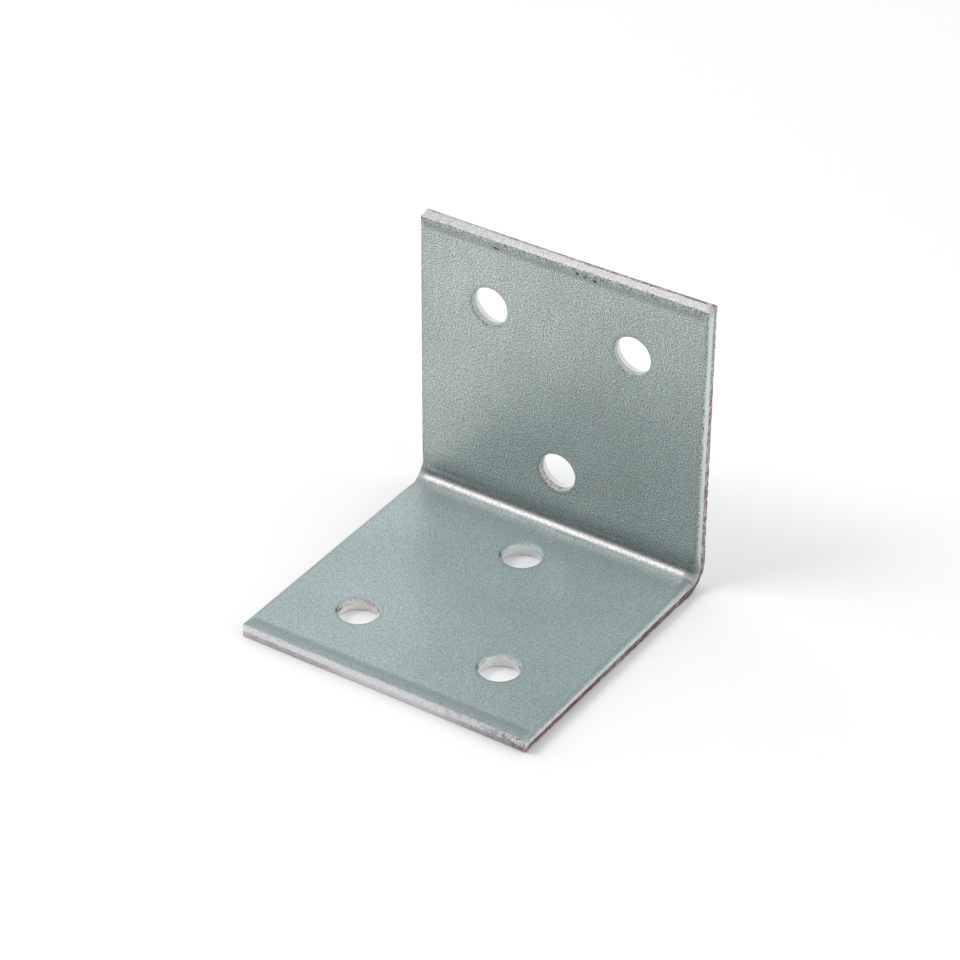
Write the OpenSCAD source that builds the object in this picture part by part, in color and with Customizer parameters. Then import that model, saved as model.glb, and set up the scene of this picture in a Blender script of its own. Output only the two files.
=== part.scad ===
// Angle bracket: one sheet, punched with six holes and folded once to a right angle.
// The leaf that lies flat runs towards -Y, the upright leaf stands at +Y, and the fold runs along X.
// The origin is on the underside, in the middle of the part's footprint.

/* [Sheet] */
// Thickness of the sheet
sheet_t = 2; // [1.5:0.1:3]
// Radius of the fold on its inner side
bend_r = 1.85; // [1.2:0.05:4]

/* [Leaves] */
// Width of both leaves, along the fold
leaf_w = 40; // [32:1:80]
// Length of the flat leaf, from the upright leaf's outer face to its free edge
base_len = 39.6; // [36:0.1:80]
// Height of the upright leaf, from the underside to its free edge
upright_len = 39.4; // [36:0.1:80]
// Radius of the leaves' free corners
corner_r = 0.3; // [0.3:0.1:4]

/* [Holes] */
// Diameter of the screw holes
hole_d = 5; // [3:0.1:6]
// Distance between the two holes of the far row, centre to centre
hole_pitch = 20; // [14:0.5:26]
// Distance of the far row of two holes from the other leaf's outer face
far_row = 30; // [25:0.25:32]
// Distance of the single near hole from the other leaf's outer face
near_row = 9.75; // [9:0.25:16]
// How much a hole's radius grows from the end of its smooth wall to the outer face
hole_flare = 0.2; // [0.05:0.05:0.4]

/* [Sheared edges] */
// Radius of the lip that the punch rolls over along each edge of the inner faces
roll_r = 0.25; // [0.1:0.05:0.3]
// Depth from the inner face to the end of an edge's smooth band
land_depth = 1.2; // [0.8:0.05:1.35]
// How far the torn band below it leans in at the outer face
tear_lean = 0.1; // [0.05:0.05:0.25]

/* [Ends of the fold] */
// How far the squeezed inner side of the fold swells past the leaves' sides
swell = 0.3; // [0.1:0.05:0.35]
// Radius of the swell's own rolled lip
swell_lip = 0.45; // [0.3:0.05:0.6]

/* [Hidden] */
$fn = 64;

zinc = [0.64, 0.69, 0.69];

// Radius of the fold on its outer side
bend_out = bend_r + sheet_t;
// Height of the torn band above the outer face
tear_h = sheet_t - land_depth;
// Punches run past both faces by this much
clear = 1;

// Where the swell starts and ends below the inner face at the middle of the fold
swell_top = 0.025 * sheet_t;
swell_bottom = 0.7 * sheet_t;
// The swell's plan is an arc that dies out at the ends of the fold
swell_reach = (bend_r + roll_r) * sin(45);
swell_plan_r = (pow(swell_reach, 2) + pow(swell, 2)) / (2 * swell);

// Section across a sheared edge: outer face at the bottom, inner face and its rolled lip at the
// top. The edge itself is at reach on the right.
module edge_section(reach) {
    polygon([[0, 0], [reach - tear_lean, 0], [reach, tear_h], [0, tear_h]]);
    translate([0, tear_h])
        square([reach, land_depth - roll_r]);
    translate([0, sheet_t - roll_r])
        square([reach - roll_r, roll_r]);
    intersection() {
        translate([reach - roll_r, sheet_t - roll_r])
            circle(r = roll_r);
        translate([reach - roll_r, sheet_t - roll_r])
            square(roll_r);
    }
}

// Section across the whole width of a leaf
module strip_section() {
    edge_section(leaf_w / 2);
    mirror([1, 0])
        edge_section(leaf_w / 2);
}

// Flat leaf in its own frame: outer face on z = 0, from the fold's end to its free edge at y = len
module leaf_blank(len) {
    straight_end = len - corner_r;
    corner_x = leaf_w / 2 - corner_r;
    translate([0, straight_end, 0])
        rotate([90, 0, 0])
            linear_extrude(straight_end - bend_out)
                strip_section();
    // free edge between the two corners
    translate([-corner_x, straight_end, 0])
        rotate([90, 0, 90])
            linear_extrude(2 * corner_x)
                edge_section(corner_r);
    for (side = [0, 1])
        mirror([side, 0, 0])
            translate([corner_x, straight_end, 0])
                rotate_extrude(angle = 90)
                    edge_section(corner_r);
}

// Void of one punched hole, its axis on z, with the sheet's outer face on z = 0: a straight wall
// under a rolled rim, and a flare where the slug tore out
module punched_hole() {
    hole_r = hole_d / 2;
    translate([0, 0, -clear])
        cylinder(r = hole_r, h = sheet_t + 2 * clear);
    cylinder(r1 = hole_r + hole_flare, r2 = hole_r, h = tear_h);
    rotate_extrude()
        translate([hole_r, sheet_t - roll_r])
            difference() {
                square(roll_r);
                translate([roll_r, 0])
                    circle(r = roll_r);
            }
    // the flare and the rim open fully at the two faces
    translate([0, 0, -clear])
        cylinder(r = hole_r + hole_flare, h = clear);
    translate([0, 0, sheet_t])
        cylinder(r = hole_r + roll_r, h = clear);
}

// Leaf with its two far holes and its near hole
module leaf(len) {
    difference() {
        leaf_blank(len);
        for (side = [-1, 1])
            translate([side * hole_pitch / 2, far_row, 0])
                punched_hole();
        translate([0, near_row, 0])
            punched_hole();
    }
}

// Turns a section's or a ring's own axis on to the fold's axis, along X
module at_fold_axis() {
    translate([0, -bend_out, bend_out])
        rotate([-90, 0, 90])
            children();
}

// The fold: the leaves' section swept through a quarter turn
module fold() {
    at_fold_axis()
        rotate_extrude(angle = 90)
            translate([bend_out, 0])
                rotate(90)
                    strip_section();
}

// Half section of the swell's lens, from its axis outwards, inner face towards +y
module lens_section() {
    depth = swell_bottom - swell_top;
    square([swell_plan_r - swell_lip, depth]);
    polygon([[0, 0], [swell_plan_r - 2 * swell, 0], [swell_plan_r, depth - swell_lip],
             [0, depth - swell_lip]]);
    intersection() {
        translate([swell_plan_r - swell_lip, depth - swell_lip])
            circle(r = swell_lip);
        translate([swell_plan_r - swell_lip, depth - swell_lip])
            square(swell_lip);
    }
}

// Swelling at one end of the fold, kept within the sheet's thickness
module fold_swell() {
    intersection() {
        at_fold_axis()
            rotate_extrude(angle = 90)
                translate([bend_r, 0])
                    square([sheet_t, leaf_w / 2 + 2 * swell]);
        translate([0, -bend_out, bend_out])
            rotate([45, 0, 0])
                translate([-leaf_w / 2 - swell + swell_plan_r, 0, -bend_r - swell_bottom])
                    rotate_extrude()
                        lens_section();
    }
}

// The whole bracket, its heel line moved so that the origin is under the footprint's middle
module bracket() {
    color(zinc)
        translate([0, base_len / 2, 0]) {
            rotate([0, 0, 180])
                leaf(base_len);
            rotate([90, 0, 0])
                leaf(upright_len);
            fold();
            for (side = [0, 1])
                mirror([side, 0, 0])
                    fold_swell();
        }
}

bracket();
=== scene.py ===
"""Angle bracket of zinc-coated steel sheet: punched, sheared to size and folded once.

The blank is laid out flat with its rolled, sheared and torn edges, and a node tree tears the
edges, swells the ends of the fold and folds the sheet. Lengths in the code are millimetres in
the flat blank and metres in Blender's own settings.
"""

import math
from collections import namedtuple

import bpy
import numpy as np
from bpy.props import FloatProperty, FloatVectorProperty, IntProperty, PointerProperty
from mathutils import Matrix, Vector
from mathutils.geometry import delaunay_2d_cdt


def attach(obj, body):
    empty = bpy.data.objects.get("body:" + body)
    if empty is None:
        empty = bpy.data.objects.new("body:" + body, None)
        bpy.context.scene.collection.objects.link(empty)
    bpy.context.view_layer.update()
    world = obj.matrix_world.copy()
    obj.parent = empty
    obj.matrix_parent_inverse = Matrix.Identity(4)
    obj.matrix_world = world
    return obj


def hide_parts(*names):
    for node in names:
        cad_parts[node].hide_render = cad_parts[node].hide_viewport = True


bl_info = {
    "name": "Angle bracket",
    "version": (1, 0, 0),
    "blender": (4, 5, 0),
    "location": "3D View > Sidebar > Bracket",
    "description": "Builds a folded sheet metal angle bracket and the stage it stands on",
    "category": "Add Mesh",
}

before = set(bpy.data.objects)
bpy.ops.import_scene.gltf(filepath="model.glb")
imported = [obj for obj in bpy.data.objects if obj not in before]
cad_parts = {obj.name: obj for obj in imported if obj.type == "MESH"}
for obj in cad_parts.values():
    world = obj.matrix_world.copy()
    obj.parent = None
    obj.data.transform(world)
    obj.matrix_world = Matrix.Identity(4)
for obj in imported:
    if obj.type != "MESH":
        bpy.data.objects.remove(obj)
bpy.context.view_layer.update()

MM = 0.001


def srgb(red, green, blue):
    """Linear colour of a display colour given in 0 to 255."""
    values = (c / 255 for c in (red, green, blue))
    return tuple(c / 12.92 if c <= 0.04045 else ((c + 0.055) / 1.055) ** 2.4 for c in values)


def length(name, description, millimetres):
    """A length setting, written in millimetres and kept in metres."""
    return FloatProperty(
        name=name, description=description, default=millimetres * MM, unit="LENGTH", precision=5
    )


def colour(name, description, red, green, blue):
    """A colour setting, written as a display colour."""
    return FloatVectorProperty(
        name=name, description=description, default=srgb(red, green, blue), subtype="COLOR",
        min=0, max=1,
    )


def level(name, description, default):
    """A plain strength setting, from 0 up. Of a light, 1 shows as white."""
    return FloatProperty(name=name, description=description, default=default, min=0)


def angle(name, description, degrees):
    """An angle setting, written in degrees."""
    return FloatProperty(
        name=name, description=description, default=math.radians(degrees), subtype="ANGLE"
    )


class SheetSettings(bpy.types.PropertyGroup):
    """Real sizes of the sheet, its holes and its fold."""

    thickness: length("Thickness", "Thickness of the sheet", 2.0)
    fold_radius: length("Fold radius", "Inner radius of the fold", 1.85)
    width: length("Width", "Width of both leaves", 40.0)
    base_length: length("Base length", "Flat leaf, from the heel to its free edge", 39.6)
    upright_length: length("Upright length", "Upright leaf, from the heel to its free edge", 39.4)
    corner_radius: length("Corner radius", "Radius of the free corners", 0.1)
    hole_diameter: length("Hole diameter", "Diameter of the screw holes", 5.0)
    hole_pitch: length("Hole pitch", "Distance between the two far holes", 20.0)
    far_row: length("Far row", "Far holes' distance from the other leaf's outer face", 30.0)
    near_row: length("Near row", "Near hole's distance from the other leaf's outer face", 9.75)
    hole_flare: length("Hole flare", "Growth of a hole's radius where the slug tore out", 0.4)


class EdgeSettings(bpy.types.PropertyGroup):
    """How the shears left the edges, and the fold its ends."""

    tear_depth: length("Tear depth", "Depth of the pits in the torn band", 0.15)
    line_wave: length("Line wave", "Wandering of the line where the smooth band ends", 0.3)
    chip_depth: length("Chips", "Depth of the chips along the outer face's border", 0.11)
    swell: length("Swell", "Swelling of the fold's squeezed side at its ends", 0.27)
    seed: IntProperty(name="Seed", description="Pattern of the torn edges", default=7, min=0)


class CoatSettings(bpy.types.PropertyGroup):
    """Colours of the metal, and the force of its grains."""

    zinc: colour("Zinc", "Coat on the flat leaf's faces", 174, 189, 190)
    zinc_warm: colour("Warm zinc", "Coat on the upright leaf's faces", 179, 190, 187)
    worn: colour("Worn zinc", "Coat burnished by the tool along the fold", 180, 179, 178)
    base_grain: level("Base grain", "Contrast of the flat leaf's grains", 2.1)
    upright_grain: level("Upright grain", "Contrast of the upright leaf's grains", 4.4)
    land: colour("Smooth band", "Smooth band of a sheared edge", 226, 224, 227)
    land_cool: colour("Cool smooth band", "Smooth band with a trace of the coat", 204, 213, 212)
    torn: colour("Torn band", "Torn band of a sheared edge", 230, 227, 230)
    slug: colour("Slug's tear", "Torn flare of a hole in the flat leaf", 250, 250, 249)
    slug_upright: colour("Upright slug's tear", "Torn flare of a hole in the upright leaf",
                         238, 238, 237)
    bore: colour("Hole wall", "Wall of a hole with a warm tone", 214, 210, 204)
    bore_cool: colour("Cool hole wall", "Wall of a hole with a trace of the coat", 190, 201, 206)
    stain: colour("Stain", "Brown bloom on the torn band", 110, 80, 70)
    pit: colour("Pit", "Deepest pits of the torn band", 40, 33, 32)


class StageSettings(bpy.types.PropertyGroup):
    """Floor, lights and camera."""

    floor: colour("Floor", "Plain pale floor", 247, 247, 247)
    lens: FloatProperty(
        name="Focal length", description="Focal length in millimetres on the sensor",
        default=129.33, min=10,
    )
    azimuth: angle("Azimuth", "Camera's turn about the vertical, from the front", 33.271)
    elevation: angle("Elevation", "Camera's angle above the horizon", 34.396)
    roll: angle("Roll", "Camera's turn about its own line of sight", 0.275)
    camera_place: FloatVectorProperty(
        name="Camera", description="Where the camera stands",
        default=(0.18268, -0.27768, 0.24636), subtype="TRANSLATION",
    )
    box_strength: level("Soft box", "Brightness of the soft box", 6.2)
    box_direction: FloatVectorProperty(
        name="Soft box direction", description="From the object to the soft box",
        default=(-0.4527, -0.409, 0.792), subtype="DIRECTION",
    )
    ceiling: level("Ceiling", "Brightness overhead", 1.08)
    back_wall: level("Back wall", "Brightness behind the object", 0.82)
    side_wall: level("Side walls", "Brightness at both sides", 1.25)
    front_wall: level("Front wall", "Brightness at the camera's side", 0.02)
    box_size: length("Soft box size", "Side of the square soft box", 230)
    box_distance: length("Soft box distance", "From the object to the soft box", 600)


def settings_in(group):
    """Names of the group's own settings."""
    return [key for key in group.bl_rna.properties.keys() if key not in ("rna_type", "name")]


def add_object(name, data):
    """A new object in the scene."""
    made = bpy.data.objects.new(name, data)
    bpy.context.scene.collection.objects.link(made)
    return made


# Node maths, for shader and geometry trees alike


def socket_named(sockets, key):
    """The socket in use with this name, or at this place in the list."""
    if isinstance(key, int):
        return sockets[key]
    return next(s for s in sockets if s.enabled and s.name == key)


def arithmetic(operation):
    """An operator for this operation of the maths nodes, and its reflected form."""

    def plain(self, other):
        return self.maths(operation, self, other)

    def reflected(self, other):
        return self.maths(operation, other, self)

    return plain, reflected


def function(operation):
    """A method for this operation of the maths nodes, on a wire and any further values."""

    def method(self, *others):
        return self.maths(operation, self, *others)

    return method


class Wire:
    """An output of a node, with arithmetic. Colours and vectors go through Vector Math and Mix."""

    __add__, __radd__ = arithmetic("ADD")
    __sub__, __rsub__ = arithmetic("SUBTRACT")
    __mul__, __rmul__ = arithmetic("MULTIPLY")
    __truediv__, __rtruediv__ = arithmetic("DIVIDE")
    __pow__, __rpow__ = arithmetic("POWER")
    # the lesser and the greater of two, and functions of one, with angles in radians
    least, most = function("MINIMUM"), function("MAXIMUM")
    sine, cosine = function("SINE"), function("COSINE")
    __abs__, sign = function("ABSOLUTE"), function("SIGN")

    def __init__(self, tree, output):
        self.tree = tree
        self.output = output

    @property
    def wide(self):
        """True for a vector or a colour."""
        return self.output.type in ("VECTOR", "RGBA")

    def node(self, kind, settings=None, out=0, **inputs):
        """Any node in the same tree: its settings first, then its sockets' values and links."""
        return make_node(self.tree, kind, settings, out, inputs)

    def filled(self, kind, settings, values, out=0):
        """Any node in the same tree, its sockets filled with these values in their order."""
        return make_node(self.tree, kind, settings, out, dict(enumerate(values)))

    def maths(self, operation, *values):
        """A Math node, or a Vector Math node where any value is a vector or a colour."""
        wide = any(isinstance(v, Wire) and v.wide or isinstance(v, tuple) for v in values)
        kind = "ShaderNodeVectorMath" if wide else "ShaderNodeMath"
        return self.filled(kind, {"operation": operation}, values)

    def ramp(self, start, end, low=0.0, high=1.0):
        """Eases from low at start to high at end, and stays there."""
        settings = {"interpolation_type": "SMOOTHSTEP"}
        return self.filled("ShaderNodeMapRange", settings, (self, start, end, low, high))

    def parts(self):
        """The three parts of a vector."""
        made = self.tree.nodes.new("ShaderNodeSeparateXYZ")
        plug(self.tree, made.inputs[0], self)
        return [Wire(self.tree, o) for o in made.outputs]

    def dot(self, other):
        """Dot product with another vector."""
        settings = {"operation": "DOT_PRODUCT"}
        return self.filled("ShaderNodeVectorMath", settings, (self, other), "Value")

    def blend(self, first, second):
        """From the first colour at 0 to the second at 1, by this value."""
        inputs = {"Factor": self, "A": first, "B": second}
        return self.node("ShaderNodeMix", {"data_type": "RGBA"}, "Result", **inputs)

    def mix(self, first, second):
        """From the first number at 0 to the second at 1, by this value."""
        return self * (second - first) + first

    def noise(self, scale, detail=2.0, roughness=0.5, w=None):
        """Noise of this many bumps a metre at this place."""
        inputs = {"Vector": self, "Scale": scale, "Detail": detail, "Roughness": roughness}
        if w is None:
            return self.node("ShaderNodeTexNoise", **inputs)
        return self.node("ShaderNodeTexNoise", {"noise_dimensions": "4D"}, W=w, **inputs)


def plug(tree, socket, value):
    """Links a wire to the socket, or sets its value."""
    if isinstance(value, Wire):
        tree.links.new(value.output, socket)
    elif socket.type == "RGBA":
        socket.default_value = (*value[:3], 1.0)
    elif socket.type == "VECTOR" and not isinstance(value, (tuple, list, Vector)):
        socket.default_value = (value,) * 3
    else:
        socket.default_value = value


def make_node(tree, kind, settings=None, out=0, inputs=None):
    """Adds a node and returns its output named or numbered by out, as a wire."""
    made = tree.nodes.new(kind)
    for key, value in (settings or {}).items():
        setattr(made, key, value)
    for key, value in (inputs or {}).items():
        plug(tree, socket_named(made.inputs, key), value)
    return Wire(tree, socket_named(made.outputs, out))


# The flat blank: x across the sheet, y along it from the flat leaf's free edge, z up from the
# outer face


# Distance between points along an edge and over a leaf, and numbers of steps elsewhere
SIDE_STEP, SKIN_STEP = 0.18, 2.0
FOLD_STEPS, CORNER_STEPS, HOLE_STEPS, STRIP_STEPS, SEAM_STEPS = 24, 6, 112, 40, 2
# Least radius of a row at a corner, and how far from the corner the rows draw in
LEAST_CORNER, CORNER_REACH = 0.04, 6.0
# Strip of flat face kept beside each edge, and bare margins of a leaf's own points
HOLD, BORDER_MARGIN, HOLE_MARGIN = 0.25, 1.2, 0.8
# A face whose middle is nearer to a hole's axis than this share of its rim lies in the hole
IN_HOLE = 0.9997

# Where a point lies down a sheared edge, as its fact "tear" says
INNER_FACE, LIP, BAND, BAND_END, TEAR_END, OUTER_FACE = -2.0, -1.5, -1.0, 0.0, 1.0, 2.0

# Reach and slope of the die roll, radius of the lip, and depth at which the smooth band ends
Shape = namedtuple("Shape", "roll slope lip land")
FRONT = Shape(roll=1.9, slope=0.165, lip=0.17, land=1.15)
TOP = Shape(roll=1.5, slope=0.15, lip=0.24, land=1.46)
SIDE = Shape(roll=0.62, slope=0.2, lip=0.22, land=0.84)
HOLE = Shape(roll=0.5, slope=0.16, lip=0.2, land=0.86)

# Each hole's fraying, cool tone and soiling, in the order of hole_places
Look = namedtuple("Look", "fray cool soiled")
HOLE_LOOKS = (
    Look(0.3, 0.1, 0.3), Look(0.3, 0.5, 0.15), Look(0.3, 0.8, 0.08),
    Look(0.2, 0.9, 0.1), Look(0.2, 0.9, 0.1), Look(0.7, 0.4, 0.5),
)
# Directions from a hole's axis: to the ends of its wall, darkened with painted shade, and to the
# painted shadow of its burr on the rim
WALL_ENDS = (0.84, 0.55)
BURR_SHADOW = (-0.86, -0.5)

METAL_FACTS = ("tear", "stain", "bright", "dull", "nick", "fray", "bore")
FACTS = (*METAL_FACTS, "line", "rag")


def ease(value, start, end):
    """Smooth step from 0 at start to 1 at end."""
    f = np.clip((value - start) / (end - start), 0, 1)
    return f * f * (3 - 2 * f)


def bell(value, centre, reach):
    """1 at the centre, dying out at about twice the reach."""
    return np.exp(-(((value - centre) / reach) ** 2))


class Sizes:
    """The sheet's settings in millimetres, and what follows from them."""

    def __init__(self, sheet):
        for key in settings_in(sheet):
            setattr(self, key, getattr(sheet, key) / MM)
        self.half = self.width / 2
        self.fold_out = self.fold_radius + self.thickness
        self.fold_start = self.base_length - self.fold_out
        self.fold_length = (self.fold_radius + self.thickness / 2) * math.pi / 2
        self.fold_end = self.fold_start + self.fold_length
        self.fold_mid = (self.fold_start + self.fold_end) / 2
        self.long = self.fold_end + self.upright_length - self.fold_out


class Blank:
    """Points, faces and facts of the flat blank while it is put together."""

    def __init__(self):
        self.points = []
        self.facts = {name: [] for name in FACTS}
        self.out = []
        self.faces = []
        self.sharp = []
        self.count = 0

    def add(self, points, out=None, **facts):
        """Adds points and returns their numbers."""
        points = np.asarray(points, float)
        n = len(points)
        self.points.append(points)
        self.out.append(np.zeros((n, 2)) if out is None else out)
        for name in FACTS:
            value = facts.get(name, INNER_FACE if name == "tear" else 0.0)
            self.facts[name].append(np.broadcast_to(value, (n,)).astype(float))
        self.count += n
        return np.arange(self.count - n, self.count)

    def wall(self, rows, sharp):
        """Quads between closed rows of as many points each, with sharp edges along some rows."""
        for upper, lower in zip(rows, rows[1:]):
            self.faces += np.stack(
                [upper, lower, np.roll(lower, -1), np.roll(upper, -1)], 1
            ).tolist()
        for k in sharp:
            self.sharp += np.stack([rows[k], np.roll(rows[k], -1)], 1).tolist()

    def face(self, corners, inner):
        """Adds a face on the sheet's inner side, or turned round on its outer side."""
        self.faces.append([int(v) for v in (corners if inner else corners[::-1])])

    def where(self, numbers):
        """The points with these numbers."""
        return np.concatenate(self.points)[numbers]


def edge_rows(roll, slope, lip, land, lean, thickness, bow=0.7, roll_rows=5, lip_rows=5,
              torn_rows=6):
    """Rows across a sheared edge, each with its inset from the edge, its depth under the inner
    face, and its facts tear, line, rag and the darkening that paints shade down the die roll and
    over the lip. Sizes may be arrays, one value a station."""
    rows = []

    def row(inset, depth, tear, line=0.0, rag=0.0, dull=0.0):
        rows.append((inset, depth, tear, line, rag, dull))

    row(roll + HOLD, 0 * roll, INNER_FACE)
    row(roll, 0 * roll, INNER_FACE, dull=0.15)
    lip_inset = lip - lip * np.sin(slope)
    run = roll - lip_inset
    # painted shade down the die roll and over the lip
    for k in range(1, roll_rows + 1):
        f = k / roll_rows
        shade = 0.2 + 0.75 * math.sin(math.pi * min(1.0, 0.15 + 0.85 * f))
        tear = INNER_FACE + (LIP - INNER_FACE) * f
        row(roll - run * f, run * np.tan(slope) * f * f / 2, tear, dull=shade)
    sunk = run * np.tan(slope) / 2 + lip * np.cos(slope)
    for k in range(1, lip_rows + 1):
        f = k / lip_rows
        turn = slope + (math.pi / 2 - slope) * f
        tear = LIP + (BAND - LIP) * f
        row(lip - lip * np.sin(turn), sunk - lip * np.cos(turn), tear, dull=0.15)
    for f in (0.35, 0.7, 1.0):
        row(0 * lip, sunk + (land - sunk) * f, BAND + f, line=f * f)
    for k in range(1, torn_rows + 1):
        f = k / torn_rows
        row(lean * f**bow, land + (thickness - land) * f, f, line=1 - f, rag=1.0)
    row(lean + HOLD, thickness + 0 * lean, OUTER_FACE)
    return rows


def sharp_rows(rows):
    """Numbers of the rows at which the surface turns sharply."""
    return [k for k, row in enumerate(rows) if row[2] in (BAND_END, TEAR_END)]


class Outline:
    """Stations round the blank's outline, counter-clockwise on the inner face."""

    def __init__(self, z):
        self.z = z
        cut = np.linspace(0, 1, int((z.width - 2 * z.corner_radius) / SIDE_STEP) + 1)[:-1]
        c = z.corner_radius
        base_n = int((z.fold_start - c) / SIDE_STEP)
        up_n = int((z.long - c - z.fold_end) / SIDE_STEP)
        side = np.concatenate([
            np.linspace(c, z.fold_start, base_n + 1)[:-1],
            np.linspace(z.fold_start, z.fold_end, FOLD_STEPS + 1)[:-1],
            np.linspace(z.fold_end, z.long - c, up_n + 1)[:-1],
        ])
        turn = np.linspace(0, math.pi / 2, CORNER_STEPS + 1)[:-1]
        flat_x = -z.half + c + cut * (z.width - 2 * c)
        # each station: its corner's two signs, its kind (0 cut edge, 1 side, 2 corner), its place
        lower = [(np.sign(x) or 1, -1, 0, x) for x in flat_x]
        lower += [(1, -1, 2, math.pi / 2 - a) for a in turn]
        right = [(1, -1 if s < z.long / 2 else 1, 1, s) for s in side]
        right += [(1, 1, 2, a) for a in turn]
        upper = [(np.sign(-x) or 1, 1, 0, -x) for x in flat_x]
        upper += [(-1, 1, 2, math.pi / 2 - a) for a in turn]
        back = np.concatenate([side[1:], [z.long - c]])[::-1]
        left = [(-1, -1 if s < z.long / 2 else 1, 1, s) for s in back]
        left += [(-1, -1, 2, a) for a in turn]
        table = np.array(lower + right + upper + left, float)
        self.sx, self.sy, kind, place = table.T
        self.cut, self.side, self.corner = kind == 0, kind == 1, kind == 2
        self.x = np.where(self.cut, place, 0.0)
        self.s = np.where(self.side, place, np.where(self.sy < 0, 0.0, z.long))
        self.turn = np.where(self.corner, place, 0.0)
        n_low, n_right, n_up = len(lower), len(right), len(upper)
        self.right_side = np.arange(n_low, n_low + len(side) + 1)
        first_left = n_low + n_right + n_up
        self.left_side = np.arange(first_left - 1, first_left + len(side))[::-1]
        self.side_s = np.append(side, z.long - c)
        out_x = np.where(self.cut, 0, np.where(self.side, 1, np.cos(self.turn)))
        out_y = np.where(self.cut, 1, np.where(self.side, 0, np.sin(self.turn)))
        self.out = np.stack([self.sx * out_x, self.sy * out_y], 1)
        self.cutness = np.where(self.cut, 1.0, np.where(self.side, 0.0, np.sin(self.turn) ** 2))
        # where each station lies: how far round the fold, up the upright leaf and by the heel
        self.front, self.right = self.sy < 0, self.sx > 0
        self.upright = ease(self.s, z.fold_start, z.fold_end)
        self.height = np.clip((self.s - z.fold_end) / (z.long - z.fold_end), 0, 1)
        self.fold = bell(self.s, z.fold_mid, 2.6) * ~self.cut
        self.heel = bell(self.s, z.fold_mid - 0.6, 3.4) * self.side
        to_corner = np.where(self.side, np.minimum(self.s, z.long - self.s), 0.0)
        self.from_end = np.where(self.cut, z.half - np.abs(self.x), to_corner)

    def pick(self, front, top, side):
        """One value along the front edge, one along the top edge, and one for all the rest."""
        return np.where(self.cut, np.where(self.front, front, top), side)

    def _along(self, distance, inset):
        """A station's distance from the corner, drawn in as the row goes in from the edge."""
        c = self.z.corner_radius
        pull = inset + np.maximum(c - np.abs(inset), LEAST_CORNER) - c
        f = np.clip((CORNER_REACH - distance) / (CORNER_REACH - c), 0, 1)
        return distance + pull * f * f

    def _reach(self, half, along, distance, inset, turned):
        """How far from the blank's middle each station lies, where half is the edge's reach."""
        least = np.maximum(self.z.corner_radius - np.abs(inset), LEAST_CORNER)
        rounding = np.where(self.corner, least * (1 - turned), 0)
        return np.where(along, half - self._along(distance, inset), half - inset - rounding)

    def place(self, cut_inset, side_inset):
        """Stations moved in from the cut edges and from the sides."""
        half, long = self.z.half, self.z.long
        from_side = half - np.abs(self.x)
        from_cut = np.where(self.front, self.s, long - self.s)
        x = self._reach(half, self.cut, from_side, side_inset, np.cos(self.turn))
        y = self._reach(long / 2, self.side, from_cut, cut_inset, np.sin(self.turn))
        return np.stack([self.sx * x, long / 2 + self.sy * y], 1)


# Small nicks that the shears left under the upright leaf's free edge: place across the sheet,
# distance from that edge, and half length
NICKS = (
    (-9.2, 0.95, 0.34), (-8.7, 1.1, 0.16), (2.2, 0.76, 0.3), (3.3, 0.84, 0.5), (4.6, 0.94, 0.34),
    (12.4, 0.3, 0.3),
)
NICK_DEPTH = 0.09
NICK_WIDTH = 0.17


def nicks_at(flat, z):
    """How deep in a nick each of these places is, from 0 to 1."""
    depth = np.zeros(len(flat))
    for x, inset, reach in NICKS:
        along, across = flat[:, 0] - x, flat[:, 1] - (z.long - inset)
        depth = np.maximum(depth, np.exp(-((along / reach) ** 2) - (across / NICK_WIDTH) ** 2))
    return depth


def cut_rows(line, z):
    """Rows across the front edge and the top edge."""
    x = line.x
    top_land = TOP.land + 0.12 * ease(-x, 4, 15) - 0.07 * bell(x, 1, 6)
    top_lean = 0.12 * (1 - (x / z.half) ** 2)
    return edge_rows(
        roll=np.where(line.front, FRONT.roll, TOP.roll),
        slope=np.where(line.front, FRONT.slope, TOP.slope),
        lip=np.where(line.front, FRONT.lip, TOP.lip),
        land=np.where(line.front, FRONT.land, top_land),
        lean=np.where(line.front, 0.1 + 0.1 * ease(x, -14, 0), top_lean),
        thickness=z.thickness,
    )


def side_rows(line, z):
    """Rows across both sides, with a wider and softer roll round the fold."""
    left, fold, upright = ~line.right, line.fold, line.upright
    right_lean = 0.34 - 0.18 * ease(line.s, 3, 28) - 0.14 * upright - 0.14 * line.heel
    return edge_rows(
        roll=SIDE.roll + fold * np.where(line.right, 0.9, 0.5),
        slope=SIDE.slope + 0.26 * fold,
        lip=SIDE.lip + 0.28 * fold + 0.1 * left,
        land=SIDE.land + 0.08 * upright + 0.28 * line.height - 0.1 * fold * left,
        lean=np.where(line.right, right_lean, -0.1 - 0.16 * upright),
        thickness=z.thickness,
    )


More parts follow.
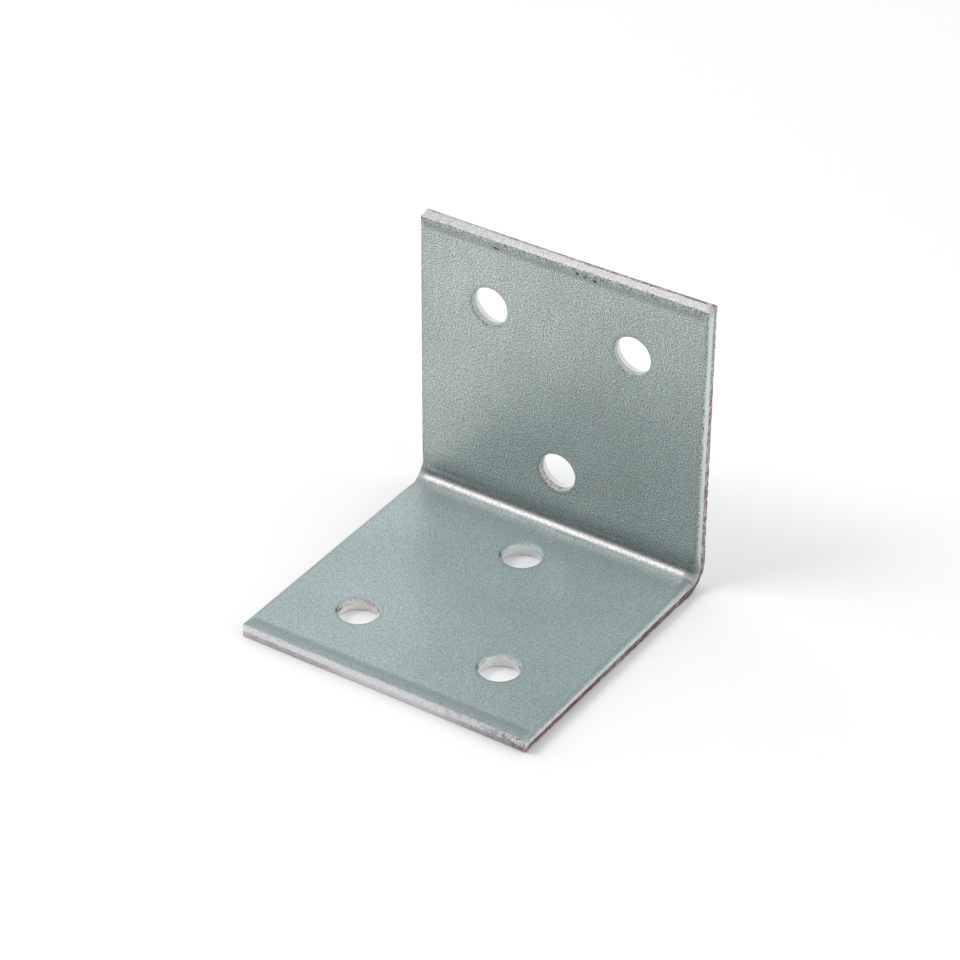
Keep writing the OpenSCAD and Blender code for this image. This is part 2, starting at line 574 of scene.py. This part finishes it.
def band_looks(line):
    """How brown the torn band is, how bright the smooth band, how tarnished it is, with painted
    shade at the upright leaf's top right corner, and how far the coat frays over it, at each
    station. Changes start and end at millimetres across the sheet or from its front edge, or at
    shares of the upright leaf's height."""
    x, upright, height = line.x, line.upright, line.height
    stain = line.pick(
        0.3 * ease(-x, 3, 10) + 0.4 * ease(x, 6, 16), 0.85 - 0.3 * ease(-x, 4, 15),
        1.0 - 0.1 * upright - 0.25 * ease(height, 0.55, 0.95),
    )
    bright = line.pick(0.0, 0.1 + 0.35 * ease(-x, 2, 16), 0.8 * upright)
    side_darkening = np.maximum(0.24 - 0.09 * upright - 0.15 * ease(height, 0.1, 0.6),
                              line.heel * 0.9)
    front_end = 0.15 * (1 - ease(line.s, 0.5, 5)) * line.side * line.right
    tarnish_and_shade = line.pick(
        0.25 * ease(x, 3, 12) + 0.48 * ease(x, 13, 18.5), 0.14 * ease(-x, 0, 12),
        side_darkening + front_end,
    )
    # painted shade at the upright leaf's top right corner, where the top edge's smooth band meets
    # the side's
    tip = ease(x, 18.9, 19.8) * line.cut + line.corner + line.side * ease(height, 0.965, 1.0)
    tarnish_and_shade = np.maximum(tarnish_and_shade, 0.64 * tip * line.right * ~line.front)
    return stain, bright, tarnish_and_shade, line.pick(0.45, 1.0, 0.12)


def lay_outline(blank, z):
    """The sheared edges all round the blank. Returns the outline with its first and last rows."""
    line = Outline(z)
    stain, bright, tarnish_and_shade, fray = band_looks(line)
    shade = line.pick(1.0, 1.0, 0.3 + 0.2 * line.fold)
    roll_shade = line.pick(0.8, 0.0, 0.4 * line.side * (1 - 0.4 * line.upright))
    shears = line.pick(0.25, 0.12, 0.65 - 0.12 * line.upright) * ease(line.from_end, 0.0, 1.5)
    cut, side, w = cut_rows(line, z), side_rows(line, z), line.cutness
    rows = []
    for c, s in zip(cut, side):
        flat = line.place(c[0], s[0])
        depth, tear, wave, rag, dull = (c[k] * w + s[k] * (1 - w) for k in range(1, 6))
        nick = nicks_at(flat, z) * (tear < BAND)
        points = np.column_stack([flat, z.thickness - depth - nick * NICK_DEPTH])
        on_band = ease(tear, -1.3, BAND)
        # painted shade: a dark line down the die roll
        roll_shade_line = ease(tear, -1.9, -1.75) * (1 - ease(tear, -1.4, -1.2))
        dull = np.maximum(dull * shade, roll_shade * roll_shade_line) * (1 - on_band) + tarnish_and_shade * on_band
        rows.append(blank.add(
            points, line.out, tear=tear, line=wave, rag=rag * shears, stain=stain,
            bright=bright, dull=dull, nick=nick, fray=fray,
        ))
    blank.wall(rows, sharp_rows(cut))
    return line, rows[0], rows[-1]


def hole_places(z):
    """Centres of the six holes in the flat blank."""
    rows = []
    for near, far in (
        (z.base_length - z.near_row, z.base_length - z.far_row),
        (z.fold_end + z.near_row - z.fold_out, z.fold_end + z.far_row - z.fold_out),
    ):
        rows += [(-z.hole_pitch / 2, far), (z.hole_pitch / 2, far), (0.0, near)]
    return rows


def lay_hole(blank, z, centre, look):
    """One punched hole. Returns its first and last rows."""
    turn = -np.linspace(0, 2 * math.pi, HOLE_STEPS + 1)[:-1]
    spoke = np.stack([np.cos(turn), np.sin(turn)], 1)
    one = np.ones(HOLE_STEPS)
    in_base = centre[1] < z.fold_start
    ends = in_base * (spoke @ WALL_ENDS) ** 6
    burr_shadow = in_base * np.maximum(spoke @ BURR_SHADOW, 0.0) ** 14
    across = edge_rows(
        roll=HOLE.roll * one, slope=HOLE.slope, lip=HOLE.lip * one, land=HOLE.land,
        lean=z.hole_flare * one, thickness=z.thickness, bow=0.5,
        roll_rows=2, lip_rows=4, torn_rows=5,
    )
    rows = []
    for inset, depth, tear, wave, rag, dull in across:
        flat = np.array(centre) + spoke * (z.hole_diameter / 2 + inset)[:, None]
        on_rim = ease(-inset, -0.5, -0.2) * (1 - ease(tear, -1.2, -0.6))
        # a punched wall waves and tears less than a sheared edge
        rows.append(blank.add(
            np.column_stack([flat, z.thickness - depth * one]), -spoke,
            tear=tear, line=wave * 0.4, rag=rag * 0.25, bright=look.cool, fray=look.fray,
            # painted shadow of the burr beside the rim, and painted shade at both ends of the flat
            # leaf's hole walls
            bore=1.0, nick=burr_shadow * on_rim * 0.65,
            dull=np.maximum(dull * 0.5, (ends + look.soiled) * ease(tear, -1.2, -0.9)),
        ))
    blank.wall(rows, sharp_rows(across))
    return rows[0], rows[-1]


def lay_leaf_skin(blank, border, holes, height, centres, inner):
    """Triangles over one leaf, between its border and its holes."""
    ring = blank.where(holes[0])[:, :2] - centres[0]
    clear = np.hypot(*ring.T).min() * math.cos(math.pi / HOLE_STEPS)
    known = np.concatenate([border, *holes])
    flat = blank.where(known)[:, :2]
    low, high = flat.min(0) + BORDER_MARGIN, flat.max(0) - BORDER_MARGIN
    gx, gy = (np.linspace(a, b, int((b - a) / SKIN_STEP) + 2) for a, b in zip(low, high))
    grid = np.array([(x, y) for x in gx for y in gy])
    free = np.all([np.hypot(*(grid - c).T) > clear + HOLE_MARGIN for c in centres], axis=0)
    grid = grid[free]
    extra = blank.add(np.column_stack([grid, np.full(len(grid), height)]),
                      tear=INNER_FACE if inner else OUTER_FACE)
    numbers = np.concatenate([known, extra])
    flat = np.vstack([flat, grid])
    edges, start = [], 0
    for loop in (border, *holes):
        end = start + len(loop)
        edges += [(k, k + 1) for k in range(start, end - 1)] + [(end - 1, start)]
        start = end
    made = delaunay_2d_cdt([Vector(p) for p in flat], edges, [], 1, 1e-7)
    source = [numbers[o[0]] for o in made[3]]
    for face in made[2]:
        middle = np.mean([made[0][v][:] for v in face], axis=0)
        if all(np.hypot(*(middle - c)) > clear * IN_HOLE for c in centres):
            blank.face([source[v] for v in face], inner)


def lay_skins(blank, z, line, loop, holes, inner):
    """One face of the sheet: a strip of quads over the fold and triangles on both leaves."""
    start = int(np.argmin(np.abs(line.side_s - z.fold_start))) - SEAM_STEPS
    end = int(np.argmin(np.abs(line.side_s - z.fold_end))) + SEAM_STEPS
    strip = []
    columns = np.linspace(0, 1, STRIP_STEPS + 1)[1:-1, None]
    for k in range(start, end + 1):
        left, right = loop[line.left_side[k]], loop[line.right_side[k]]
        a, b = blank.where([left, right])
        row = blank.add(a + (b - a) * columns, tear=INNER_FACE if inner else OUTER_FACE)
        strip.append([left, *row, right])
    for lower, upper in zip(strip, strip[1:]):
        for j in range(STRIP_STEPS):
            blank.face([lower[j], lower[j + 1], upper[j + 1], upper[j]], inner)
    n = len(loop)
    right_low, right_high = line.right_side[start], line.right_side[end]
    left_low, left_high = line.left_side[start], line.left_side[end]
    base_border = [loop[k % n] for k in range(left_low, n + right_low + 1)]
    base_border += strip[0][1:-1][::-1]
    up_border = [loop[k] for k in range(right_high, left_high + 1)] + strip[-1][1:-1]
    centres, height = np.array(hole_places(z)), z.thickness if inner else 0.0
    for border, which in ((base_border, slice(0, 3)), (up_border, slice(3, 6))):
        lay_leaf_skin(blank, np.array(border), holes[which], height, centres[which], inner)


def blank_mesh(z):
    """The whole flat blank as a mesh in metres, with its facts."""
    blank = Blank()
    line, inner, outer = lay_outline(blank, z)
    holes = [lay_hole(blank, z, c, look) for c, look in zip(hole_places(z), HOLE_LOOKS)]
    lay_skins(blank, z, line, inner, [h[0] for h in holes], inner=True)
    lay_skins(blank, z, line, outer, [h[1] for h in holes], inner=False)
    mesh = bpy.data.meshes.new("flat_blank")
    mesh.from_pydata((np.concatenate(blank.points) * MM).tolist(), [], blank.faces)
    for name in FACTS:
        fact = mesh.attributes.new(name, "FLOAT", "POINT")
        fact.data.foreach_set("value", np.concatenate(blank.facts[name]).astype(np.float32))
    out = np.concatenate(blank.out)
    out = np.column_stack([out, np.zeros(len(out))]).astype(np.float32)
    fact = mesh.attributes.new("outward", "FLOAT_VECTOR", "POINT")
    fact.data.foreach_set("vector", out.ravel())
    pairs = {tuple(sorted(map(int, p))) for p in blank.sharp}
    ends = np.empty(len(mesh.edges) * 2, np.int32)
    mesh.edges.foreach_get("vertices", ends)
    sharp = [tuple(sorted(e)) in pairs for e in ends.reshape(-1, 2).tolist()]
    mesh.attributes.new("sharp_edge", "BOOLEAN", "EDGE").data.foreach_set("value", sharp)
    if mesh.validate():
        raise RuntimeError("the flat blank has faults in its mesh")
    return mesh


# The tree that tears, swells and folds the blank


# Bumps a metre of the smooth band's wandering end, the pits and the chips
WIDE_WAVE, SMALL_WAVE, PITS, CHIPS = 420.0, 2600.0, 3400.0, 850.0
# How far in from the sheet's side the swelling starts
SWELL_REACH = 1.6 * MM


def fold_tree(sheet, edges, metal):
    """Geometry tree from the flat blank to the folded sheet, and its inputs' values by name."""
    tree = bpy.data.node_groups.new("Folded_sheet", "GeometryNodeTree")
    lengths = {
        "Sheet thickness": sheet.thickness,
        "Fold radius": sheet.fold_radius,
        "Sheet width": sheet.width,
        "Base length": sheet.base_length,
        "Tear depth": edges.tear_depth,
        "Line wave": edges.line_wave,
        "Chip depth": edges.chip_depth,
        "Fold swell": edges.swell,
    }
    kinds = {"Geometry": "Geometry", **dict.fromkeys(lengths, "Float"), "Seed": "Int",
             "Metal": "Material"}
    for name, kind in kinds.items():
        tree.interface.new_socket(name, in_out="INPUT", socket_type="NodeSocket" + kind)
    tree.interface.new_socket("Geometry", in_out="OUTPUT", socket_type="NodeSocketGeometry")
    group = tree.nodes.new("NodeGroupInput")
    given = {s.name: Wire(tree, s) for s in group.outputs if s.name}
    thick, seed = given["Sheet thickness"], given["Seed"]
    place = make_node(tree, "GeometryNodeInputPosition")

    def fact(name, kind="FLOAT"):
        settings = {"data_type": kind}
        return place.node("GeometryNodeInputNamedAttribute", settings, "Attribute", Name=name)

    def moved(geometry, key, value):
        return geometry.node("GeometryNodeSetPosition", **{"Geometry": geometry, key: value})

    # the smooth band's end wanders up and down
    wide_wave = place.noise(WIDE_WAVE, 1.0, 0.5, seed) - 0.5
    small_wave = place.noise(SMALL_WAVE, 2.0, 0.6, seed) - 0.5
    wave = (wide_wave * 1.1 + small_wave * 0.9) * given["Line wave"] * fact("line")
    wave_move = wave.node("ShaderNodeCombineXYZ", Z=wave)
    waved = moved(given["Geometry"], "Offset", wave_move)

    # the torn band is pitted, and its outer border chipped
    torn = fact("rag")
    pits = place.noise(PITS, 3.0, 0.65, seed + 3.0).ramp(0.38, 0.72)
    chips = place.noise(CHIPS, 3.0, 0.65, seed + 9.0).ramp(0.45, 0.62)
    low = fact("tear").ramp(0.4, 1.0)
    inward = (pits * given["Tear depth"] + chips * low * given["Chip depth"]) * torn
    pitted = moved(waved, "Offset", fact("outward", "FLOAT_VECTOR") * -1.0 * inward)

    # the squeezed side swells at both ends of the fold
    x, s, d = place.parts()
    fold_out = given["Fold radius"] + thick
    start = given["Base length"] - fold_out
    run = (given["Fold radius"] + thick * 0.5) * (math.pi / 2)
    turn = ((s - start) / run).most(0.0).least(1.0) * (math.pi / 2)
    high = (d / thick).ramp(0.2, 0.7) * (d / thick).ramp(0.86, 1.0, 1.0, 0.35)
    half = given["Sheet width"] * 0.5
    near_side = abs(x).ramp(half - SWELL_REACH, half)
    bulge = (turn * 2.0).sine() * high * near_side * given["Fold swell"] * x.sign()
    swelled = moved(pitted, "Offset", bulge.node("ShaderNodeCombineXYZ", X=bulge))

    # how far round the fold each point lies, for the metal
    kept = swelled.node(
        "GeometryNodeStoreNamedAttribute", {"data_type": "FLOAT"}, Geometry=swelled,
        Name="turn", Value=turn / (math.pi / 2),
    )

    # the fold itself
    arm = fold_out - d
    y = turn.sine() * arm + (s - start).least(0.0) + (given["Base length"] * 0.5 - fold_out)
    z = (s - start - run).most(0.0) + fold_out - turn.cosine() * arm
    folded = moved(kept, "Position", x.node("ShaderNodeCombineXYZ", X=x, Y=y, Z=z))
    smooth = folded.node("GeometryNodeSetShadeSmooth", Geometry=folded)
    real = smooth.node("GeometryNodeRealizeInstances", Geometry=smooth)
    done = real.node("GeometryNodeSetMaterial", Geometry=real, Material=given["Metal"])
    tree.links.new(done.output, tree.nodes.new("NodeGroupOutput").inputs[0])
    return tree, {**lengths, "Seed": edges.seed, "Metal": metal}


def grown(piece, tree, values):
    """Puts the tree on the piece, sets its inputs, and keeps what it makes as a plain mesh."""
    modifier = piece.modifiers.new("tree", "NODES")
    ids = {
        item.name: item.identifier for item in tree.interface.items_tree
        if item.item_type == "SOCKET" and item.in_out == "INPUT"
    }
    modifier.node_group = tree
    for name, value in values.items():
        modifier[ids[name]] = value
    bpy.context.view_layer.update()
    graph = bpy.context.evaluated_depsgraph_get()
    mesh = bpy.data.meshes.new_from_object(
        piece.evaluated_get(graph), preserve_all_data_layers=True, depsgraph=graph
    )
    piece.modifiers.remove(modifier)
    old, piece.data = piece.data, mesh
    bpy.data.meshes.remove(old)


# Metal


# Bumps a metre of the coat's grains, its colour's grains and its clouds
BASE_GRAINS, UPRIGHT_GRAINS, TINTS, CLOUDS = 7600.0, 7300.0, 2400.0, 95.0
# The same for lines drawn level and for lines combed upright, as across, along and up
DRAWN = (260.0, 260.0, 4200.0)
COMBED = (3600.0, 300.0, 240.0)
# The same for the bands' frayed borders, their pits and lumps, and blots of rust
FRINGE, COARSE, BAND_PITS, LUMPS, BLOTS = 5200.0, 1900.0, 2900.0, 1500.0, 900.0
# What painted shade on the die roll, rubbed metal, and grime with painted shade do to the colour
# under it
DULL_AND_SHADE_BASE = (0.63, 0.635, 0.64)
DULL_AND_SHADE_UPRIGHT = (0.76, 0.73, 0.68)
RUBBED = (1.07, 0.96, 0.95)
GRIME_AND_SHADE = (0.24, 0.205, 0.225)
# Roughness of each finish, and how metallic they are before rust and soil
ROUGHNESS = {"coat": 0.33, "worn": 0.375, "band": 0.4, "lip": 0.62, "torn": 0.6, "dull": 0.5}
METALLIC = 0.6


class Spot:
    """Any place on the metal: where it is, what the mesh says of it, and the patterns there."""

    def __init__(self, tree):
        self.place = make_node(tree, "ShaderNodeTexCoord", None, "Object")
        for name in (*METAL_FACTS, "turn"):
            fact = make_node(tree, "ShaderNodeAttribute", {"attribute_name": name}, "Fac")
            setattr(self, name, fact)
        self.across, self.along, self.height = self.place.parts()
        self.upright = self.height.ramp(0.003, 0.006)
        self.below = self.tear.ramp(1.1, 1.5)
        self.inner = 1.0 - self.below
        self.worn = self.turn.ramp(0.24, 0.36) * self.turn.ramp(0.5, 0.66, 1.0, 0.0) * self.inner
        # each pattern is shifted by its own amounts, so that no two line up
        coarse_leaf = self.upright.most(self.below)
        base, raised = (
            (self.place + (0.4, 0.2, 0.7)).noise(scale, 1.0, 0.6) - 0.5
            for scale in (BASE_GRAINS, UPRIGHT_GRAINS)
        )
        self.grain = coarse_leaf.mix(base, raised)
        self.fringe = self.place.noise(FRINGE, 2.0, 0.6) - 0.5
        self.coarse = self.place.noise(COARSE, 2.0, 0.6) - 0.5
        self.pit = (self.place + (0.6, 0.1, 0.4)).noise(BAND_PITS, 3.0, 0.75).ramp(0.5, 0.66)
        self.lump = (self.place + (0.7, 0.7, 0.2)).noise(LUMPS, 2.0, 0.6).ramp(0.5, 0.6)
        # grime with painted shade: darker at the smooth band's top right corner and at the ends of
        # the holes' walls
        self.soil = (self.dull * (self.lump * 0.8 + self.pit * 0.5 + 0.3)).least(1.0)


def zinc_coat(at, coat):
    """The coat's colour on both faces of the sheet."""
    # soft clouds, faint scratches and drawn lines, and grains of slightly other colours
    tint = at.place.node("ShaderNodeTexNoise", None, "Color", Vector=at.place, Scale=TINTS)
    tint = tint - tint.dot((1 / 3, 1 / 3, 1 / 3))
    cloud = (at.place + (0.1, 0.5, 0.3)).noise(CLOUDS, 2.0, 0.5)
    drawn = (at.place * DRAWN).noise(1.0, 2.0, 0.6)
    combed = (at.place * COMBED).noise(1.0, 2.0, 0.6)
    scratch = drawn.ramp(0.6, 0.7) * at.upright * at.height.ramp(0.004, 0.02, 1.0, 0.15)
    lines = at.height.ramp(0.012, 0.03).mix(drawn, combed) - 0.5
    streaks = lines * at.upright * at.inner * 0.3
    zinc = at.upright.blend(coat.zinc, coat.zinc_warm)
    zinc = zinc * (cloud.ramp(0.2, 0.8, 0.95, 1.05) - scratch * 0.1 + streaks)
    zinc = zinc + tint * (at.upright * 0.12 + 0.02)

    # lighter before the fold, darker high on the upright leaf and at the flat leaf's front corner
    near = at.along.ramp(0.0, 0.012) * at.along.ramp(0.013, 0.0175, 1.0, 0.0)
    far = at.height.ramp(0.022, 0.034) * at.across.ramp(-0.014, 0.002)
    corner = at.across.ramp(0.002, 0.014) * at.along.ramp(-0.002, -0.014) * (1.0 - at.upright)
    zinc = zinc * (near * at.inner * 0.08 + 1.0)
    zinc = zinc * (1.0 - (far * 0.055 + corner * 0.07) * at.inner)

    # painted shade on the die roll, rubbed and burnished along the fold
    zinc = (at.dull * 0.9).blend(zinc, zinc * at.upright.blend(DULL_AND_SHADE_BASE, DULL_AND_SHADE_UPRIGHT))
    rubbed = at.along.ramp(0.0125, 0.0165) * at.turn.ramp(0.7, 1.0, 1.0, 0.0) * at.inner
    zinc = (rubbed * 0.8).blend(zinc, zinc * RUBBED)
    zinc = (at.worn * (1.0 - at.dull)).blend(zinc, coat.worn)

    # the fine grains, and painted shade on both sides of the burnished line
    force = at.upright.mix(coat.base_grain, coat.upright_grain)
    force = force + (coat.base_grain * 1.3 - force) * at.below
    crease_shade = at.turn.ramp(0.0, 0.24) * at.turn.ramp(0.26, 0.32, 1.0, 0.0) * at.inner
    fold_shade = at.turn.ramp(0.55, 0.72) * at.height.ramp(0.0042, 0.0065, 1.0, 0.0) * at.inner
    grains = at.grain * force * (1.0 - at.dull * 0.35)
    zinc = zinc * (grains + 1.0 - crease_shade * 0.22 - fold_shade * 0.2)
    # dark nicks under the upright leaf's free edge, and painted shadow of the burrs beside the
    # holes
    return at.nick.ramp(0.25, 0.8).blend(zinc, coat.pit)


def band_masks(at):
    """Where the smooth band and the torn band lie, with borders that fray by a few grains."""
    below_lip = at.tear - LIP
    shore = below_lip.most(0.0) + below_lip.least(0.0) * 3.5
    shore = shore + (at.fray - 0.26).least(0.22) + (at.fringe * 1.3 + at.coarse * 1.1) * at.fray
    on_land = shore.ramp(0.3, 0.44) * at.dull.ramp(0.76, 1.0, 1.0, 0.3)
    ragged = (at.fringe * 0.8 + at.coarse * 0.8) * (at.fray.least(0.5) + 0.15)
    return on_land, (at.tear + ragged).ramp(-0.04, 0.1)


def smooth_band(at, coat):
    """Colour of the smooth band and of the holes' walls, under their soil and painted shade, with
    painted light on the flat leaf's hole walls.
    """
    land = at.bright.blend(coat.land, coat.land_cool)
    land = at.bore.blend(land, at.bright.blend(coat.bore, coat.bore_cool))
    # painted light: the walls of the flat leaf's holes are brightened
    painted_light = at.bore * (1.0 - at.upright) * (at.bright * 0.35 + 0.25) + 1.0
    land = land * (at.grain * (at.bore * 0.9 + at.fray * 1.3 + 0.3) + painted_light)
    return at.soil.blend(land, land * GRIME_AND_SHADE)


def torn_band(at, coat):
    """Colour of the torn band with its rust, lumps and pits, and of the holes' flares."""
    torn = at.bore.blend(coat.torn, at.upright.blend(coat.slug, coat.slug_upright))
    blot = (at.place + (0.2, 0.9, 0.1)).noise(BLOTS, 3.0, 0.6)
    rust = (blot.ramp(0.3, 0.62) * 0.4 + 0.6) * at.stain
    torn = rust.blend(torn, coat.stain)
    # grime with painted shade over the torn band
    torn = (at.soil * (1.0 - at.bore) * 0.7).blend(torn, torn * GRIME_AND_SHADE)
    torn = (at.lump * at.upright * at.stain * 0.72).blend(torn, coat.land)
    border = at.tear.ramp(0.8, 0.95) * (at.stain * 0.5 + 0.1) * (1.0 - at.bore)
    pitted = at.pit * (at.stain * (at.upright * 0.15 + 0.7) + 0.1)
    return pitted.most(border).blend(torn, coat.pit)


def metal_finish(coat):
    """Zinc coat on the faces, bare smooth band and stained torn band on the sheared edges."""
    material = bpy.data.materials.new("zinc_coated_steel")
    material.use_nodes = True
    tree = material.node_tree
    tree.nodes.clear()
    at = Spot(tree)
    zinc = zinc_coat(at, coat)
    on_land, on_torn = band_masks(at)
    skin = on_land.blend(zinc, smooth_band(at, coat))
    skin = on_torn.blend(skin, torn_band(at, coat))
    skin = at.below.blend(skin, zinc)
    edge, ragged = on_land * at.inner, on_torn * at.inner

    lip = at.tear.ramp(-1.7, -1.45).least(at.tear.ramp(-1.1, -0.8, 1.0, 0.0))
    rough = at.worn.mix(ROUGHNESS["coat"], ROUGHNESS["worn"])
    for mask, name in (
        (edge, "band"), (lip, "lip"), (ragged, "torn"), (at.dull * (1.0 - edge), "dull"),
    ):
        rough = mask.mix(rough, ROUGHNESS[name])
    metallic = METALLIC - ragged * (at.bore * 0.25 + 0.35)
    metallic = metallic - (1.0 - ragged) * at.bore * edge * 0.25
    relief = at.grain * 0.35 + at.fringe * ragged * 1.5
    bump = relief.node("ShaderNodeBump", Strength=0.1, Distance=0.02 * MM, Height=relief)
    shader = tree.nodes.new("ShaderNodeBsdfPrincipled")
    for key, value in (
        ("Base Color", skin), ("Roughness", rough), ("Metallic", metallic), ("Normal", bump),
    ):
        plug(tree, shader.inputs[key], value)
    result = tree.nodes.new("ShaderNodeOutputMaterial")
    tree.links.new(shader.outputs[0], result.inputs["Surface"])
    return material


# The piece


class BRACKET_OT_sheet(bpy.types.Operator):
    """Lay out the blank, tear its edges, fold it and give it its metal"""

    bl_idname = "bracket.sheet"
    bl_label = "Folded sheet"

    def execute(self, context):
        """Builds the piece that stands for the CAD bracket."""
        scene = context.scene
        z = Sizes(scene.bracket_sheet)
        piece = add_object("folded_sheet", blank_mesh(z))
        metal = metal_finish(scene.bracket_coat)
        tree, values = fold_tree(scene.bracket_sheet, scene.bracket_edges, metal)
        grown(piece, tree, values)
        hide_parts("bracket")
        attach(piece, "root")
        return {"FINISHED"}


# The stage


SENSOR_WIDTH = 36
LAMP_AIM = Vector((0, 0, 15 * MM))


def stage_floor(paper):
    """Wide pale floor just under the part. It shows white, and keeps the object's shadow."""
    mesh = bpy.data.meshes.new("floor")
    half, low = 3.0, -0.05 * MM
    mesh.from_pydata(
        [(x, y, low) for x, y in ((-half, -half), (half, -half), (half, half), (-half, half))],
        [], [(0, 1, 2, 3)],
    )
    floor = add_object("floor", mesh)
    material = bpy.data.materials.new("floor_paper")
    material.use_nodes = True
    tree = material.node_tree
    shader = tree.nodes["Principled BSDF"]
    seen, mirrored, through = (
        make_node(tree, "ShaderNodeLightPath", None, f"Is {kind} Ray")
        for kind in ("Camera", "Glossy", "Transmission")
    )
    shown = seen.most(mirrored).most(through)
    plug(tree, shader.inputs["Base Color"], shown.blend(paper, (1.0, 1.0, 1.0)))
    shader.inputs["Roughness"].default_value = 0.9
    shader.inputs["Specular IOR Level"].default_value = 0.0
    mesh.materials.append(material)


def studio_world(stage):
    """Plain studio walls, each side of the room at its own level, the camera's side dark."""
    world = bpy.data.worlds.new("studio")
    world.use_nodes = True
    tree = world.node_tree
    tree.nodes.clear()
    ray = make_node(tree, "ShaderNodeTexCoord", None, "Generated")
    x, y, up = ray.parts()
    north = y / ((x * x + y * y) ** 0.5).most(0.001)
    back, front = north.ramp(0.3, 0.8), north.ramp(-0.3, -0.8)
    strength = back.mix(stage.side_wall, stage.back_wall)
    strength = front.mix(strength, stage.front_wall)
    strength = up.ramp(0.75, 0.95).mix(strength, stage.ceiling)
    background = tree.nodes.new("ShaderNodeBackground")
    background.inputs["Color"].default_value = (1, 1, 1, 1)
    plug(tree, background.inputs["Strength"], strength)
    result = tree.nodes.new("ShaderNodeOutputWorld")
    tree.links.new(background.outputs[0], result.inputs["Surface"])
    return world


def area_lamp(name, direction, distance, size, strength):
    """Square soft box that shows at this strength, turned to the object."""
    light = bpy.data.lights.new(name, "AREA")
    light.shape = "SQUARE"
    light.size = size
    light.energy = strength * math.pi * size * size
    lamp = add_object(name, light)
    way = Vector(direction).normalized()
    lamp.location = LAMP_AIM + way * distance
    lamp.rotation_euler = way.to_track_quat("Z", "Y").to_euler()


def photo_camera(stage):
    """Camera at the photograph's place and angle."""
    a, e, r = stage.azimuth, stage.elevation, stage.roll
    flat = Vector((math.cos(a), math.sin(a), 0))
    rise = Vector((-math.sin(a) * math.sin(e), math.cos(a) * math.sin(e), math.cos(e)))
    back = Vector((math.sin(a) * math.cos(e), -math.cos(a) * math.cos(e), math.sin(e)))
    right = flat * math.cos(r) + rise * math.sin(r)
    up = rise * math.cos(r) - flat * math.sin(r)
    data = bpy.data.cameras.new("camera")
    data.lens = stage.lens
    data.sensor_width = SENSOR_WIDTH
    data.sensor_fit = "HORIZONTAL"
    data.clip_start, data.clip_end = 0.01, 20
    camera = add_object("camera", data)
    turned = Matrix((right, up, back)).transposed().to_4x4()
    camera.matrix_world = Matrix.Translation(Vector(stage.camera_place)) @ turned
    bpy.context.scene.camera = camera


class BRACKET_OT_stage(bpy.types.Operator):
    """Put down the floor, the lights and the camera"""

    bl_idname = "bracket.stage"
    bl_label = "Stage"

    def execute(self, context):
        """Builds everything round the object."""
        stage = context.scene.bracket_stage
        stage_floor(stage.floor)
        context.scene.world = studio_world(stage)
        area_lamp(
            "soft_box", stage.box_direction, stage.box_distance, stage.box_size,
            stage.box_strength,
        )
        photo_camera(stage)
        context.scene.view_settings.view_transform = "Standard"
        return {"FINISHED"}


# The panel, and the classes that are registered


class BRACKET_PT_panel(bpy.types.Panel):
    """Sizes, colours and the two steps of the scene"""

    bl_label = "Angle bracket"
    bl_idname = "BRACKET_PT_panel"
    bl_space_type = "VIEW_3D"
    bl_region_type = "UI"
    bl_category = "Bracket"

    def draw(self, context):
        """Lists every setting above its operator."""
        groups = (("sheet", "edges", "coat"), ("stage",))
        for names, operator in zip(groups, ("bracket.sheet", "bracket.stage")):
            box = self.layout.box()
            for name in names:
                group = getattr(context.scene, "bracket_" + name)
                for key in settings_in(group):
                    box.prop(group, key)
            box.operator(operator)


GROUPS = {
    "bracket_sheet": SheetSettings,
    "bracket_edges": EdgeSettings,
    "bracket_coat": CoatSettings,
    "bracket_stage": StageSettings,
}
CLASSES = (*GROUPS.values(), BRACKET_OT_sheet, BRACKET_OT_stage, BRACKET_PT_panel)


def register():
    """Adds the classes and the scene's settings."""
    for cls in CLASSES:
        bpy.utils.register_class(cls)
    for name, group in GROUPS.items():
        setattr(bpy.types.Scene, name, PointerProperty(type=group))


def unregister():
    """Takes them away again."""
    for name in GROUPS:
        delattr(bpy.types.Scene, name)
    for cls in reversed(CLASSES):
        bpy.utils.unregister_class(cls)


def main():
    """Builds the scene."""
    register()
    for step in (bpy.ops.bracket.sheet, bpy.ops.bracket.stage):
        if step() != {"FINISHED"}:
            raise RuntimeError("a step of the scene didn't finish")


if __name__ == "__main__":
    main()
